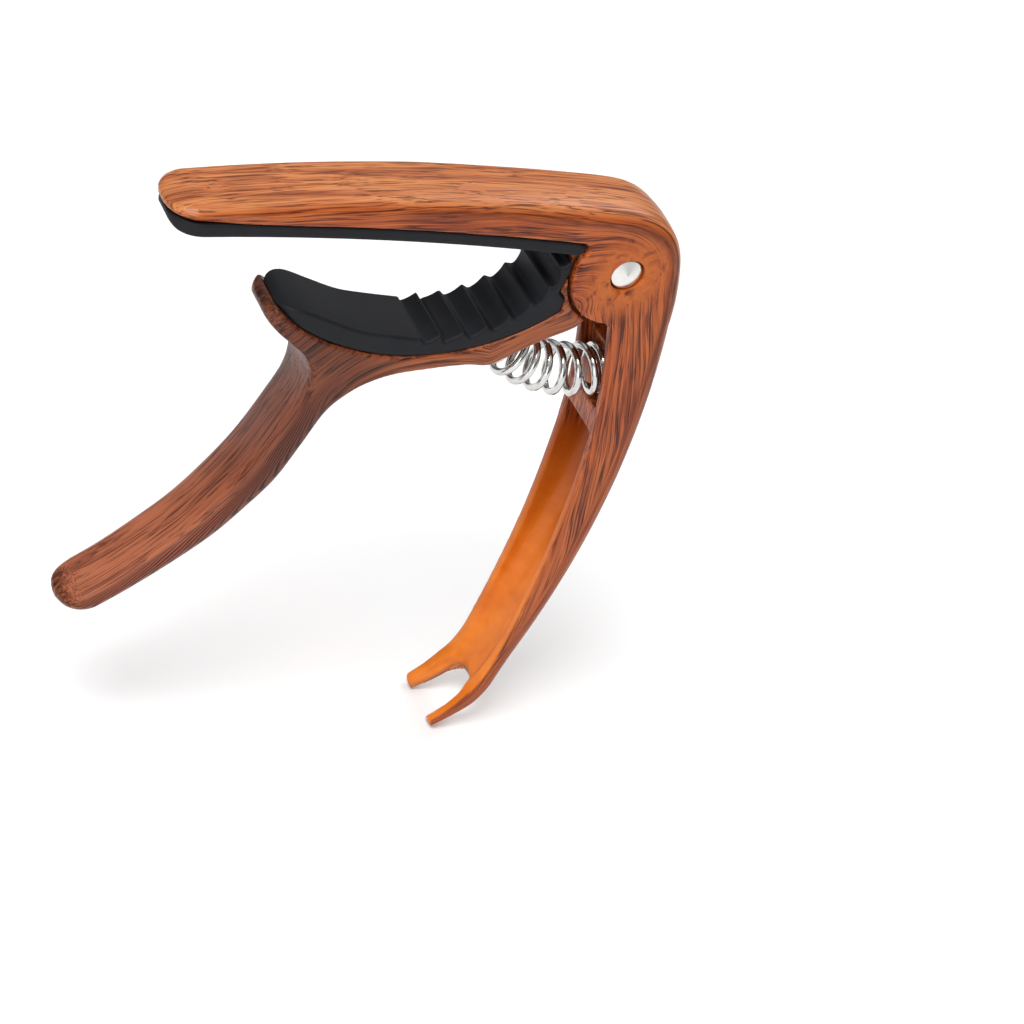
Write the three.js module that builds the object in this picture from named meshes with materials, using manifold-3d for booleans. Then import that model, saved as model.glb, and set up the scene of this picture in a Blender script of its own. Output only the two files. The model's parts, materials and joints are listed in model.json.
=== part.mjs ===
// Guitar capo of the squeeze type, with a bridge pin fork on the end of its handle.
// Millimetres. +X runs along the string bar towards the pivot, +Y across the capo, +Z is up,
// away from the fretboard. The origin is the middle of the string pad's pressing face.
import * as THREE from 'three';
import { mergeVertices } from 'three/addons/utils/BufferGeometryUtils.js';
import { ConvexGeometry } from 'three/addons/geometries/ConvexGeometry.js';
import ManifoldModule from 'manifold-3d';

const wasm = await ManifoldModule();
wasm.setup();

// ---- driving dimensions ---------------------------------------------------------------
const PIVOT_X = 37.5;          // pivot axis, from the middle of the string pad
const PIVOT_Z = -3.85;
const FRAME_WIDTH = 11.2;      // string bar, cheeks and handle, across
const JAW_WIDTH = 10.7;        // saddle of the jaw, across
const LEVER_EDGE = 1.0;         // rounding along the lever
const LEVER_WIDTH = 10.2;      // squeeze lever, across
const PAD_WIDTH = 10.6;        // string pad, across
const JAW_PAD_WIDTH = 10.3;
const CAVITY_WIDTH = 8.1;      // between the two cheeks, and inside the channel
const KNUCKLE_WIDTH = 7.3;
const KNUCKLE_RADIUS = 6.4;
const CHEEK_RADIUS = 8.1;
const WEB = 1.6;               // back wall of the handle channel
const BACK_EDGE = 1.5;         // rounding along the top of the bar and the back of the handle
const CHANNEL_FILLET = 1.4;    // at the foot of the channel's walls
const PIN_RADIUS = 2.35;
const PIN_HOLE_RADIUS = 2.62;
const PIN_RECESS = 0.3;        // pin face below the cheek's face
const PIN_CONE = 0.3;          // height of the turned cone on the pin's ends
const SLOT_TOP = 7.6;          // fork slot at the plate's upper face, and at its lower face
const SLOT_BOTTOM = 4.8;
const SLOT_SPREAD = 0.05;      // the slot opens by this much a side for each millimetre
const SPRING_ARC = 19.75;      // coil axis, from the pivot
const COIL_RADIUS = 3.42;      // to the middle of the wire
const WIRE_RADIUS = 0.56;
const COILS = 8;
const JAW_SEAT = -44;          // degrees round the pivot from straight down
const FRAME_SEAT = 14.5;
const SADDLE_X = -29.9;        // centre of the arc that the jaw pad lies in
const SADDLE_Z = 18.1;
const SADDLE_RADIUS = 32.8;
const RIB_X = -25.8;           // centre of the arc that the ribs follow
const RIB_Z = 6.4;
const RIB_RADIUS = 17.85;
const RIB_COUNT = 7;
const RIB_HEIGHT = 0.95;
const RIB_FROM = -17.75;       // degrees, from the flap to the smooth half
const RIB_TO = -93.65;
const RIB_TAPER = 1.3;         // the flap beside the cheek bends inwards by this much
const BACK_X = -125.4;         // centre of the handle's back arc
const BACK_Z = -28.6;
const BACK_RADIUS = 137.2;
const REST_GAP = 0.25;         // left between pieces that lie on each other

// ---- outlines in the XZ plane, measured from the pivot axis ---------------------------
const P = (x, z) => new THREE.Vector2(x, z);

// circular arc from a to b; rise is to the left of the way from a to b
function bow(a, b, rise, steps) {
  const chord = b.clone().sub(a);
  const half = chord.length() / 2;
  const left = P(-chord.y, chord.x).normalize();
  const radius = (half * half + rise * rise) / (2 * rise);
  const centre = a.clone().add(b).multiplyScalar(0.5).addScaledVector(left, rise - radius);
  const start = Math.atan2(a.y - centre.y, a.x - centre.x);
  let sweep = Math.atan2(b.y - centre.y, b.x - centre.x) - start;
  if (rise > 0 && sweep > 0) sweep -= 2 * Math.PI;
  if (rise < 0 && sweep < 0) sweep += 2 * Math.PI;
  const out = [];
  for (let i = 0; i <= steps; i += 1) {
    const angle = start + (sweep * i) / steps;
    out.push(P(centre.x + Math.abs(radius) * Math.cos(angle), centre.y + Math.abs(radius) * Math.sin(angle)));
  }
  return out;
}

function arc(x, z, radius, from, to, steps) {
  const out = [];
  for (let i = 0; i <= steps; i += 1) {
    const angle = THREE.MathUtils.degToRad(from + ((to - from) * i) / steps);
    out.push(P(x + radius * Math.cos(angle), z + radius * Math.sin(angle)));
  }
  return out;
}

function smooth(points, steps) {
  return new THREE.SplineCurve(points).getPoints(steps);
}

function onBack(z, inset) {
  const r = BACK_RADIUS - inset;
  return P(BACK_X + Math.sqrt(r * r - (z - BACK_Z) ** 2), z);
}

// point round the pivot: degrees from straight down, positive towards the handle
function polar(radius, degrees) {
  const a = THREE.MathUtils.degToRad(degrees);
  return P(radius * Math.sin(a), -radius * Math.cos(a));
}

function chain(...runs) {
  const out = [];
  for (const p of runs.flat()) {
    const last = out[out.length - 1];
    if (!last || last.distanceTo(p) > 0.05) out.push(p);
  }
  if (out[0].distanceTo(out[out.length - 1]) < 0.05) out.pop();
  return out;
}

// ---- solids ---------------------------------------------------------------------------
function slab(outline, width, edge) {
  const geometry = new THREE.ExtrudeGeometry(new THREE.Shape(outline), {
    depth: width - 2 * edge,
    steps: 1,
    bevelEnabled: edge > 0,
    bevelThickness: edge,
    bevelSize: edge,
    bevelOffset: -edge,
    bevelSegments: 2,
    curveSegments: 1,
  });
  geometry.translate(0, 0, edge - width / 2);
  geometry.rotateX(Math.PI / 2);
  return geometry;
}

// round bar along Y, lathed from a list of (radius, y)
function turned(profile, sides) {
  return new THREE.LatheGeometry(profile, sides);
}

// cylinder whose axis lies in the XZ plane
function peg(radius, length, at, direction, sides) {
  const geometry = new THREE.CylinderGeometry(radius, radius, length, sides);
  const axis = new THREE.Vector3(direction.x, 0, direction.y).normalize();
  geometry.applyQuaternion(new THREE.Quaternion().setFromUnitVectors(new THREE.Vector3(0, 1, 0), axis));
  geometry.translate(at.x, 0, at.y);
  return geometry;
}

function solid(geometry) {
  const bare = new THREE.BufferGeometry();
  bare.setAttribute('position', geometry.getAttribute('position').clone());
  if (geometry.index) bare.setIndex(geometry.index.clone());
  const welded = mergeVertices(bare, 1e-4);
  const index = welded.index.array;
  const position = welded.getAttribute('position').array;
  const keep = [];
  for (let i = 0; i < index.length; i += 3) {
    const [a, b, c] = [index[i], index[i + 1], index[i + 2]];
    if (a !== b && b !== c && c !== a) keep.push(a, b, c);
  }
  const mesh = new wasm.Mesh({
    numProp: 3,
    vertProperties: new Float32Array(position),
    triVerts: new Uint32Array(keep),
  });
  mesh.merge();
  return new wasm.Manifold(mesh);
}

function toGeometry(manifold) {
  const mesh = manifold.getMesh();
  const geometry = new THREE.BufferGeometry();
  const position = new Float32Array(mesh.numVert * 3);
  for (let i = 0; i < mesh.numVert; i += 1) {
    for (let k = 0; k < 3; k += 1) position[3 * i + k] = mesh.vertProperties[i * mesh.numProp + k];
  }
  geometry.setAttribute('position', new THREE.BufferAttribute(position, 3));
  geometry.setIndex(new THREE.BufferAttribute(new Uint32Array(mesh.triVerts), 1));
  return geometry;
}

// prism along Z whose left end has rounded corners, for rounding a piece in plan
function plan(end, corner, width) {
  const outline = [];
  for (const side of [-1, 1]) {
    const turn = [];
    for (let i = 0; i <= 6; i += 1) {
      const a = (Math.PI * i) / 12;
      turn.push(P(end + corner - corner * Math.cos(a), side * (width / 2 - corner + corner * Math.sin(a))));
    }
    outline.push(...(side < 0 ? turn : turn.reverse()));
    if (side < 0) outline.push(P(20, -width / 2), P(20, width / 2));
  }
  const geometry = new THREE.ExtrudeGeometry(new THREE.Shape(outline), { depth: 120, bevelEnabled: false });
  geometry.translate(0, 0, -100);
  return solid(geometry);
}

// prism with its outline in a tilted plane: across runs along Y, the other way is given
function tilted(outline, from, to, at, way) {
  const shape = new THREE.Shape(outline);
  const geometry = new THREE.ExtrudeGeometry(shape, { depth: to - from, bevelEnabled: false });
  geometry.translate(0, 0, from);
  const up = new THREE.Vector3(-way.x, 0, -way.y);
  const across = new THREE.Vector3(0, 1, 0);
  const through = new THREE.Vector3().crossVectors(across, up);
  geometry.applyMatrix4(new THREE.Matrix4().makeBasis(across, up, through));
  geometry.translate(at.x, 0, at.y);
  return solid(geometry);
}

// ---- frame casting: string bar, cheeks, channel handle and fork -------------------------
const FORK_IN = P(-4.75, -82.0);
const FORK_OUT = P(-4.4, -83.45);
const FORK_BOTTOM = P(-0.2, -79.6);
const FORK_WAY = P(-0.79, -0.613);
const PRONG_CORNER = 1.4;
const NOSE_END = -67.9;
const NOSE_CORNER = 4.0;

// fork's underside, back of the handle, corner, and top of the bar to the tip
function backLine() {
  const under = smooth([FORK_OUT, P(-1.3, -81.3), P(1.5, -78.9), P(3.3, -76.1), P(4.3, -73.4)], 10);
  const back = [];
  for (let z = -68; z <= -9; z += 5.9) back.push(onBack(z, 0));
  const corner = smooth([P(10.3, -8), P(9.8, -3.6), P(9.05, 0.3), P(7.9, 3.6), P(6.1, 6.4), P(3.5, 8.5),
    P(0.2, 9.8), P(-4, 10.3), P(-9, 10.5)], 16);
  const top = bow(P(-9, 10.5), P(-66.2, 7.4), -1.3, 12);
  return chain(under, back, corner, top, [P(-67.2, 7.15), P(-67.7, 6.85)]);
}

function frameOutline() {
  const nose = [P(NOSE_END, 6.4), P(-67.8, 5.85), P(-67.3, 5.35), P(-66.4, 5.1)];
  const underside = bow(P(-64.8, 5.0), P(-8.4, 4.95), 0.84, 12);
  const padRecess = bow(P(-8.35, 4.85), P(-8.3, 2.6), 0.9, 5);
  const cheek = arc(-0.2, 0, CHEEK_RADIUS, 162, 268, 16);
  const rim = smooth([P(0.5, -9.2), P(2.2, -15.8), P(3.6, -23), P(4.5, -31), P(4.8, -42), P(4.4, -53),
    P(3.2, -65), P(2.0, -71.5), P(0.8, -75.3), P(-0.7, -77.6), P(-2.5, -79.8)], 28);
  return chain(nose, underside, padRecess, cheek, rim, [FORK_IN], backLine());
}

// everything inside the back line, left open on the other side
function backHalf() {
  return chain(backLine(), [P(-80, 7.0), P(-80, -95), P(-9, -95)]);
}

// room for the jaw's knuckle, and the pocket for the spring's end
function upperCavity() {
  const wall = [];
  for (let z = -12.2; z <= -2; z += 2.55) wall.push(onBack(z, WEB));
  const roof = arc(0, 0, 7.1, 0, 158, 14);
  const pocket = [-8, 0, 7, FRAME_SEAT].map((a) => polar(SPRING_ARC + 4.2, a));
  return chain(wall, roof, [P(-14, 2.65), P(-14, -24.9)], pocket, [polar(SPRING_ARC - 4.6, FRAME_SEAT)]);
}

function lowerChannel() {
  const wall = [];
  for (let z = -76; z <= -30; z += 4.6) wall.push(onBack(z, WEB));
  return chain([P(-14, -79.2), P(-0.6, -77.8)], wall, [P(4.6, -27.7), P(-14, -28.2)]);
}

// slot with a round bottom, wider at the plate's upper face
function forkSlot() {
  const across = new THREE.Vector3(0, 1, 0);
  const up = new THREE.Vector3(-FORK_WAY.x, 0, -FORK_WAY.y);
  const through = new THREE.Vector3().crossVectors(across, up);
  const frame = new THREE.Matrix4().makeBasis(across, up, through);
  frame.setPosition(FORK_BOTTOM.x, 0, FORK_BOTTOM.y);
  const level = (width, v) => {
    const outline = arc(0, 0, width / 2, 0, 180, 10);
    outline.push(P(-width / 2 - 9 * SLOT_SPREAD, -9), P(width / 2 + 9 * SLOT_SPREAD, -9));
    return outline.map((p) => new THREE.Vector3(p.x, p.y, v).applyMatrix4(frame));
  };
  const face = through.x < 0 ? 1 : -1;
  const between = (a, b) => solid(new ConvexGeometry([...a, ...b]));
  const draft = between(level(SLOT_BOTTOM, -0.6 * face), level(SLOT_TOP, 0.6 * face));
  const below = between(level(SLOT_BOTTOM, -0.59 * face), level(SLOT_BOTTOM, -4 * face));
  const above = between(level(SLOT_TOP, 0.59 * face), level(SLOT_TOP, 4 * face));
  return draft.add(below).add(above);
}

function prongCorner(side) {
  const half = FRAME_WIDTH / 2;
  const start = -5.0;
  const outline = [P(half - PRONG_CORNER, -9), P(half - PRONG_CORNER, start - PRONG_CORNER)];
  for (let i = 1; i <= 5; i += 1) {
    const a = (Math.PI * i) / 10;
    outline.push(P(half - PRONG_CORNER + PRONG_CORNER * Math.sin(a), start - PRONG_CORNER * Math.cos(a)));
  }
  outline.push(P(half + 1, start), P(half + 1, -9));
  const turned = side > 0 ? outline : outline.map((p) => P(-p.x, p.y)).reverse();
  return tilted(turned, -4, 4, FORK_BOTTOM, FORK_WAY);
}

function frameCasting() {
  const blank = solid(slab(frameOutline(), FRAME_WIDTH, 0));
  const rounded = solid(slab(backHalf(), FRAME_WIDTH, BACK_EDGE));
  const outer = blank.intersect(rounded).intersect(plan(NOSE_END, NOSE_CORNER, FRAME_WIDTH + 0.02));
  const cavity = solid(slab(upperCavity(), CAVITY_WIDTH, 0));
  const channel = solid(slab(lowerChannel(), CAVITY_WIDTH, CHANNEL_FILLET));
  const hole = solid(turned([P(0, -8), P(PIN_HOLE_RADIUS, -8), P(PIN_HOLE_RADIUS, 8), P(0, 8)], 32));
  const along = polar(1, FRAME_SEAT + 90);
  const nubAt = polar(SPRING_ARC, FRAME_SEAT).addScaledVector(along, -0.9);
  const nub = solid(peg(2.2, 3, nubAt, along, 16));
  const open = outer.subtract(cavity).subtract(channel).add(nub).subtract(hole);
  return open.subtract(forkSlot()).subtract(prongCorner(1)).subtract(prongCorner(-1));
}

// ---- jaw casting: saddle, knuckle and squeeze lever -------------------------------------
const SADDLE_END = -51.5;
const SADDLE_CORNER = 4.6;
const LEVER_TIP = P(-67.5, -60.9);
const LEVER_WAY = P(-0.7, -0.714);

function saddleOutline() {
  const seat = arc(SADDLE_X, SADDLE_Z, SADDLE_RADIUS, -128.9, -48.3, 22);
  const step = [P(-8.1, -4.3), P(-9.2, -3.3), P(-8.8, -0.9)];
  const concentric = arc(-0.2, 0, CHEEK_RADIUS + 0.45, 187, 243, 8);
  const under = smooth([P(-5.2, -9.2), P(-9.1, -11.3), P(-12.1, -13.2), P(-16, -16)], 8);
  const belly = smooth([P(-16, -16), P(-20, -15.9), P(-25, -16.7), P(-30.3, -17.9), P(-33.8, -19.7),
    P(-36.0, -22.5)], 14);
  const backFillet = smooth([P(-42.4, -22.5), P(-42.3, -18.2), P(-43.6, -15.0), P(-46.6, -12.6),
    P(-49.5, -10.7), P(-51.0, -9.4), P(-51.4, -8.4)], 16);
  return chain(seat, step, concentric, under, belly, backFillet, [P(-51.1, -7.7)]);
}

function leverOutline() {
  const upper = smooth([P(-42.3, -18.2), P(-42.4, -22.5), P(-44.1, -28), P(-46.5, -34.3), P(-49.7, -40.2),
    P(-53.2, -45.4), P(-57.3, -50), P(-61.7, -54.4), P(-65.2, -57.3)], 24);
  const end = smooth([P(-65.6, -57.6), P(-67.5, -59.0), P(-67.6, -60.2), P(-66.5, -61.1), P(-64.6, -60.9),
    P(-62.6, -59.9)], 9);
  const lower = smooth([P(-62.6, -59.9), P(-58.5, -56.6), P(-53.5, -52.1), P(-48.45, -46.95),
    P(-44.75, -41.9), P(-41.55, -36.75), P(-39.3, -30.8), P(-37.6, -25.8), P(-36.0, -22.5),
    P(-33.8, -19.7)], 26);
  return chain(upper, end, lower, [P(-32.5, -16.6), P(-40.5, -15.2)]);
}

// keeps the end of the lever round when it is seen square on
function leverPlan() {
  const half = LEVER_WIDTH / 2;
  const outline = arc(0, half, half + 0.01, 180, 360, 16);
  outline.push(P(half + 0.01, 75), P(-half - 0.01, 75));
  return tilted(outline, -40, 60, LEVER_TIP, LEVER_WAY);
}

function knuckleOutline() {
  const disc = arc(0, 0, KNUCKLE_RADIUS, -60, 155, 22);
  return chain(disc, [P(-7.2, 2.3), P(-8.5, 2.1), P(-8.8, -0.9), P(-9.2, -3.3), P(-8.1, -4.3), P(-8.1, -6.45),
    P(-9.6, -7.8), P(-13.5, -10.8), P(-10.4, -11.2), P(-5.3, -9.2), P(-3.4, -7.4)]);
}

function springPocket() {
  const inner = SPRING_ARC - COIL_RADIUS - WIRE_RADIUS - 0.5;
  const outer = SPRING_ARC + 8;
  const seat = JAW_SEAT;
  const points = [];
  for (let i = 0; i <= 8; i += 1) points.push(polar(inner, seat + i * 8));
  for (let i = 8; i >= 0; i -= 1) points.push(polar(outer, seat + i * 8));
  return slab(points.reverse(), 8.5, 0);
}

function jawCasting() {
  const blank = solid(slab(saddleOutline(), JAW_WIDTH, 0));
  const saddle = blank.intersect(plan(SADDLE_END, SADDLE_CORNER, JAW_WIDTH));
  const lever = solid(slab(leverOutline(), LEVER_WIDTH, LEVER_EDGE)).intersect(leverPlan());
  const knuckle = solid(slab(knuckleOutline(), KNUCKLE_WIDTH, 0));
  const hole = solid(turned([P(0, -8), P(PIN_HOLE_RADIUS, -8), P(PIN_HOLE_RADIUS, 8), P(0, 8)], 32));
  const seatAt = polar(SPRING_ARC, JAW_SEAT);
  const along = polar(1, JAW_SEAT + 90);
  const nub = solid(peg(2.2, 3, seatAt.clone().addScaledVector(along, 0.9), along, 16));
  const body = saddle.add(lever).add(knuckle).subtract(solid(springPocket()));
  return body.add(nub).subtract(hole);
}

// ---- rubber pads --------------------------------------------------------------------------
const STRING_PAD_END = -68.25;
const STRING_PAD_CORNER = 3.9;
const JAW_PAD_END = -50.4;
const JAW_PAD_CORNER = 4.4;

function stringPadOutline() {
  const face = bow(P(-64.9, 2.95), P(-8.75, 2.85), 0.95, 14);
  const end = bow(P(-8.7, 2.85), P(-8.95, 4.6), -0.8, 5);
  const back = bow(P(-9.3, 4.7), P(-64.8, 4.75), -0.84, 12);
  const inner = [P(-66.4, 4.84), P(-67.4, 5.05), P(-67.9, 5.4)];
  const outer = [P(-68.2, 5.35), P(-68.0, 4.7), P(-67.4, 3.85), P(-66.3, 3.2)];
  return chain(face, end, back, inner, outer);
}

// each rib is a scallop that climbs to a narrow crest and drops behind it
function ribWave(phase) {
  const drop = 0.3;
  if (phase < drop) return 0.5 - 0.5 * Math.cos((Math.PI * phase) / drop);
  return (1 - (phase - drop) / (1 - drop)) ** 1.6;
}

function jawPadOutline() {
  const reach = SADDLE_RADIUS - REST_GAP;
  const bed = arc(SADDLE_X, SADDLE_Z, reach, -128.4, -48.4, 20);
  const flank = [P(-8.4, -4.45), P(-9.5, -3.4), P(-9.1, -0.9), P(-8.85, 0.4), P(-9.0, 1.5)];
  const ribs = [];
  const steps = RIB_COUNT * 6;
  for (let i = 0; i <= steps; i += 1) {
    const t = i / steps;
    const angle = THREE.MathUtils.degToRad(RIB_FROM + (RIB_TO - RIB_FROM) * t);
    const height = i < steps ? ribWave((RIB_COUNT * 0.981 * t) % 1) : 0;
    const first = t > 0.88 ? 0.6 * (1 - height) : 0;
    const taper = RIB_TAPER * Math.max(0, 1 - t / 0.3) ** 1.5;
    const r = RIB_RADIUS + RIB_HEIGHT * (0.5 - height) + first - taper;
    ribs.push(P(RIB_X + r * Math.cos(angle), RIB_Z + r * Math.sin(angle)));
  }
  const rest = smooth([P(-27.5, -11.75), P(-32.9, -11.3), P(-37.0, -10.75), P(-41.3, -9.35), P(-45.3, -7.75),
    P(-47.9, -7.0), P(-49.2, -7.05)], 14);
  return chain(bed, flank, ribs, rest, [P(-49.95, -7.3)]);
}

function stringPad() {
  const strip = solid(slab(stringPadOutline(), PAD_WIDTH, 0));
  return strip.intersect(plan(STRING_PAD_END, STRING_PAD_CORNER, PAD_WIDTH));
}

function jawPad() {
  const cushion = solid(slab(jawPadOutline(), JAW_PAD_WIDTH, 0));
  return cushion.intersect(plan(JAW_PAD_END, JAW_PAD_CORNER, JAW_PAD_WIDTH));
}

// ---- spring: round wire coiled along an arc about the pivot -------------------------------
function springGeometry() {
  const turns = COILS;
  const steps = turns * 14;
  const sides = 8;
  const from = JAW_SEAT + THREE.MathUtils.radToDeg((WIRE_RADIUS + REST_GAP) / SPRING_ARC);
  const to = FRAME_SEAT - THREE.MathUtils.radToDeg((WIRE_RADIUS + REST_GAP) / SPRING_ARC);
  const at = (t) => {
    const turn = 2 * Math.PI * turns * t;
    const flat = 0.75 / turns;
    const eased = THREE.MathUtils.clamp((t - flat) / (1 - 2 * flat), 0, 1);
    const degrees = from + (to - from) * (0.04 * t + 0.96 * eased);
    const p = polar(SPRING_ARC + COIL_RADIUS * Math.cos(turn), degrees);
    return new THREE.Vector3(p.x, COIL_RADIUS * Math.sin(turn), p.y);
  };
  const position = [];
  const index = [];
  for (let i = 0; i <= steps; i += 1) {
    const t = i / steps;
    const here = at(t);
    const ahead = at(Math.min(1, t + 1e-3)).sub(at(Math.max(0, t - 1e-3))).normalize();
    const hub = polar(SPRING_ARC, from + (to - from) * t);
    const outward = here.clone().sub(new THREE.Vector3(hub.x, 0, hub.y));
    outward.addScaledVector(ahead, -outward.dot(ahead)).normalize();
    const side = new THREE.Vector3().crossVectors(ahead, outward);
    for (let k = 0; k < sides; k += 1) {
      const a = (2 * Math.PI * k) / sides;
      const v = here.clone().addScaledVector(outward, WIRE_RADIUS * Math.cos(a));
      v.addScaledVector(side, WIRE_RADIUS * Math.sin(a));
      position.push(v.x, v.y, v.z);
      if (i < steps) {
        const a0 = i * sides + k;
        const a1 = i * sides + ((k + 1) % sides);
        index.push(a0, a1, a1 + sides, a0, a1 + sides, a0 + sides);
      }
    }
  }
  for (let k = 1; k < sides - 1; k += 1) {
    index.push(0, k + 1, k);
    const last = steps * sides;
    index.push(last, last + k, last + k + 1);
  }
  const geometry = new THREE.BufferGeometry();
  geometry.setAttribute('position', new THREE.Float32BufferAttribute(position, 3));
  geometry.setIndex(index);
  return geometry;
}

function pinGeometry() {
  const half = FRAME_WIDTH / 2 - PIN_RECESS;
  const rim = half - PIN_CONE;
  return turned([P(0, -half), P(PIN_RADIUS - 0.15, -rim), P(PIN_RADIUS, -rim + 0.15), P(PIN_RADIUS, rim - 0.15),
    P(PIN_RADIUS - 0.15, rim), P(0, half)], 32);
}

// ---- assembly -------------------------------------------------------------------------------
function finish(colour, roughness, metalness) {
  return new THREE.MeshStandardMaterial({ color: colour, roughness, metalness });
}

const woodFilm = finish(0x9a4a22, 0.35, 0);
const rubber = finish(0x1b1c1f, 0.75, 0);
const nickel = finish(0xc9ccd0, 0.18, 1);
const steel = finish(0xd2d2cf, 0.25, 1);

const group = new THREE.Group();
group.name = 'guitar_capo';

function place(name, geometry, material) {
  const bare = toGeometry(solid(geometry));
  bare.translate(PIVOT_X, 0, PIVOT_Z);
  bare.computeVertexNormals();
  const mesh = new THREE.Mesh(bare, material);
  mesh.name = name;
  group.add(mesh);
}

place('frame_casting', toGeometry(frameCasting()), woodFilm);
place('jaw_casting', toGeometry(jawCasting()), woodFilm);
place('string_pad', toGeometry(stringPad()), rubber);
place('jaw_pad', toGeometry(jawPad()), rubber);
place('pivot_pin', pinGeometry(), steel);
place('return_spring', springGeometry(), nickel);

export default group;
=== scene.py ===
import json
import math

import bpy
import numpy as np
from mathutils import Matrix, Vector


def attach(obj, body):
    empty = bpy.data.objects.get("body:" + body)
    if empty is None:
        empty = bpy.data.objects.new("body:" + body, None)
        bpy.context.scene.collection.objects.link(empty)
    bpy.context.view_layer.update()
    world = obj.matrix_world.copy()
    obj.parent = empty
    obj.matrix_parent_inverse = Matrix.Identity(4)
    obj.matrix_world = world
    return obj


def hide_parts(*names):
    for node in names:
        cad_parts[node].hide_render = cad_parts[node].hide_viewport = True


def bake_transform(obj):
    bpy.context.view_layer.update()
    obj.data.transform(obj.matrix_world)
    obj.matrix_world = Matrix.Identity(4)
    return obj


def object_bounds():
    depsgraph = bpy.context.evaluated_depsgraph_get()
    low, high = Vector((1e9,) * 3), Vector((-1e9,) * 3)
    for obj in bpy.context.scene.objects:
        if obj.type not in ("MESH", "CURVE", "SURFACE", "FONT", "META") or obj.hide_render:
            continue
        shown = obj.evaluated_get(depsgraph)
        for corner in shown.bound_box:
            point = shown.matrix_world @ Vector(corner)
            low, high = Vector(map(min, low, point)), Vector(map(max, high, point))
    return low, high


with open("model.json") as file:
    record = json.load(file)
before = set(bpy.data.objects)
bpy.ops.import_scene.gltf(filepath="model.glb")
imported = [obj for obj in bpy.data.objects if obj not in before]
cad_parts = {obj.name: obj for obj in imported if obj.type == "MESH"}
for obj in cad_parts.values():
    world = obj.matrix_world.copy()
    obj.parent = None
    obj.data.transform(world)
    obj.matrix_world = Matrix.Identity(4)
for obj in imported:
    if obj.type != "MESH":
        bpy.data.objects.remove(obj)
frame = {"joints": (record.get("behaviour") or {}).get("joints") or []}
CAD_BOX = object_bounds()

MM = 0.001
PIVOT = np.array(frame["joints"][0]["pos_m"], float)

# Lengths are in millimetres, measured from the pivot axis, until a mesh is made.
FRAME_WIDTH = 11.2
JAW_WIDTH = 10.7
LEVER_WIDTH = 10.2
PAD_WIDTH = 10.6
JAW_PAD_WIDTH = 10.3
CAVITY_WIDTH = 8.1
KNUCKLE_WIDTH = 7.3
KNUCKLE_RADIUS = 6.4
CHEEK_RADIUS = 8.1
WEB = 1.6
PIN_RADIUS = 2.35
PIN_RECESS = 0.12       # from the cheek's face to the point of the pin's cone
PIN_CONE = 0.5
HOLE_RADIUS = 2.55
SPRING_ARC = 19.75      # radius about the pivot of the arc that the spring lies along
COIL_RADIUS = 3.42
WIRE_RADIUS = 0.56
COILS = 8
# the spring's two ends, in degrees round the pivot from straight down
JAW_SEAT = -44.0
FRAME_SEAT = 14.5
STUD_RADIUS = 2.2
STUD_HALF = 2.0
STUD_SHIFT = 0.4        # from the spring's end to the stud's middle
STUD_EDGE = 0.6
POCKET_SWEEP = 64
POCKET_HALF = 4.25
# circles as (x, z, radius)
BACK = (-125.4, -28.6, 137.2)
SADDLE = (-29.9, 18.1, 32.8)
RIBS = (-25.8, 6.4, 17.85)
RIBS_START = -17.75
RIBS_SWEEP = 75.9
RIBS_PERIODS_SWEEP = 77.35
RIB_COUNT = 7
RIB_HEIGHT = 0.95
RIB_DROP = 0.3          # the share of a rib's pitch in which it drops
RIB_TAPER = 1.3
# corners rounded in plan, as (where the rounding starts, radius)
NOSE_CORNER = (-63.7, 4.3)
PRONG_CORNER = (5.0, 1.4)
LIP_CORNER = (-46.6, 4.2)
LEVER_CORNER = (5.0, 4.9)
LEVER_TIP = (-67.5, -60.9)
LEVER_WAY = (0.70, 0.714)
# half width of the fork's slot, and how it grows with height and towards its mouth
SLOT_HALF, SLOT_TAPER, SLOT_FLARE = 3.1, 1.15, 0.05
SLOT_CEILING = -70
CAST_EDGE = 0.3
# the film's grain turns the corner about this point, where its length is GRAIN_TURN times the angle
GRAIN_CENTRE = (-12.0, -9.0)
GRAIN_TURN = 20.0

CELL = 0.3
PAD_CELL = CELL * 0.6


# ---- outlines in the XZ plane ---------------------------------------------------------
def ease(x, low, high):
    """0 up to low, 1 from high on, and smooth between them."""
    t = np.clip((x - low) / (high - low), 0, 1)
    return t * t * (3 - 2 * t)


def bow(a, b, rise, steps):
    """Circular arc from a to b whose middle stands rise to the left of the straight line."""
    a, b = np.array(a, float), np.array(b, float)
    chord = b - a
    half = np.hypot(*chord) / 2
    left = np.array([-chord[1], chord[0]]) / (2 * half)
    radius = (half * half + rise * rise) / (2 * rise)
    centre = (a + b) / 2 + left * (rise - radius)
    start = math.atan2(a[1] - centre[1], a[0] - centre[0])
    sweep = math.atan2(b[1] - centre[1], b[0] - centre[0]) - start
    if rise > 0 and sweep > 0:
        sweep -= 2 * math.pi
    if rise < 0 and sweep < 0:
        sweep += 2 * math.pi
    t = start + sweep * np.linspace(0, 1, steps + 1)
    return centre + abs(radius) * np.stack([np.cos(t), np.sin(t)], 1)


def arc(x, z, radius, first, last, steps):
    t = np.radians(np.linspace(first, last, steps + 1))
    return np.array([x, z]) + radius * np.stack([np.cos(t), np.sin(t)], 1)


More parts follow.
